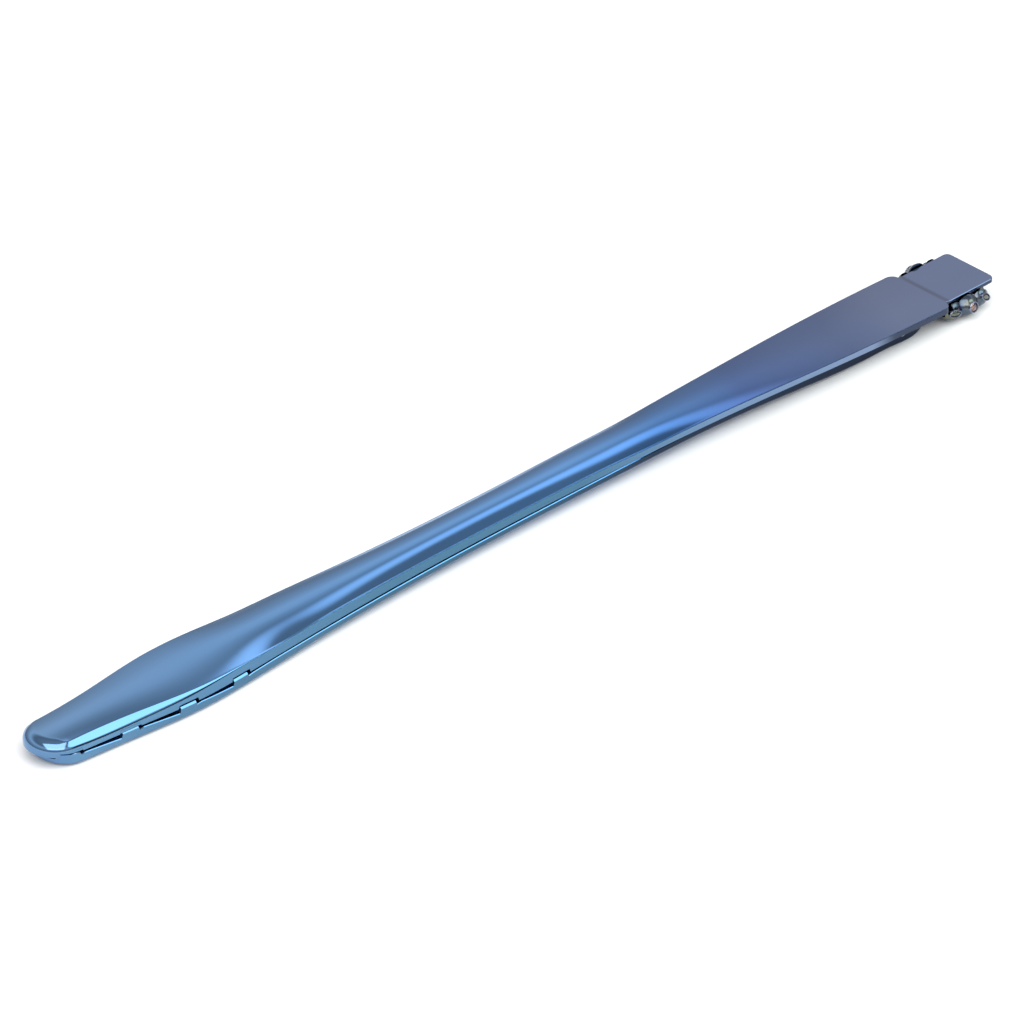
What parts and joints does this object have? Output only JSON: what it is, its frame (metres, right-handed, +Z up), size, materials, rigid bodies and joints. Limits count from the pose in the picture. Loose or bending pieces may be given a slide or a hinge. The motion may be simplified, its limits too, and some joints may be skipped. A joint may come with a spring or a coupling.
{
  "type": "spring clip",
  "caption": "Long slim two-jaw spring clip of mirror-blue sheet metal with toothed paddle tip, press tab and a stone-set cast flower at the tail.",
  "frame": {"origin": "middle of the footprint, on the surface that the clip lies on", "axes": "+X along the clip from the toothed tip to the press tab, +Y across it, +Z up from the lower jaw to the upper jaw"},
  "size_m": [0.13, 0.0098, 0.0033],
  "materials": {
    "blue_steel": "mirror-polished steel with a blue vapour-deposited coating",
    "plain_steel": "bright drawn steel",
    "dark_chrome": "polished casting with a dark iridescent coating",
    "violet_stone": "cut glass, foil backed, iridescent",
    "amber_stone": "cut glass, foil backed, iridescent",
    "green_stone": "cut glass, foil backed, iridescent"
  },
  "bodies": {
    "lower": {"bead_ring": "dark_chrome", "centre_collet": "dark_chrome", "centre_stone": "violet_stone", "hinge_pin": "plain_steel", "lower_jaw": "blue_steel", "ornament_base": "dark_chrome", "ornament_rivets": "plain_steel", "oval_bezel_front_left": "dark_chrome", "oval_bezel_front_right": "dark_chrome", "oval_bezel_rear_left": "dark_chrome", "oval_bezel_rear_right": "dark_chrome", "oval_stone_front_left": "green_stone", "oval_stone_front_right": "green_stone", "oval_stone_rear_left": "green_stone", "oval_stone_rear_right": "green_stone", "side_collet_left": "dark_chrome", "side_collet_right": "dark_chrome", "side_stone_left": "amber_stone", "side_stone_right": "amber_stone", "torsion_spring": "plain_steel"},
    "upper": {"upper_jaw": "blue_steel", "hinge_bracket": "plain_steel"}
  },
  "joints": [
    {"name": "jaw_hinge", "type": "hinge", "parent": "lower", "child": "upper", "pos_m": [0.052, 0, 0.0013], "axis": [0, 1, 0], "range_deg": [0, 3], "stiffness_Nm_per_rad": 0.06, "springref_deg": -20.05, "deforming": ["torsion_spring"]}
  ]
}
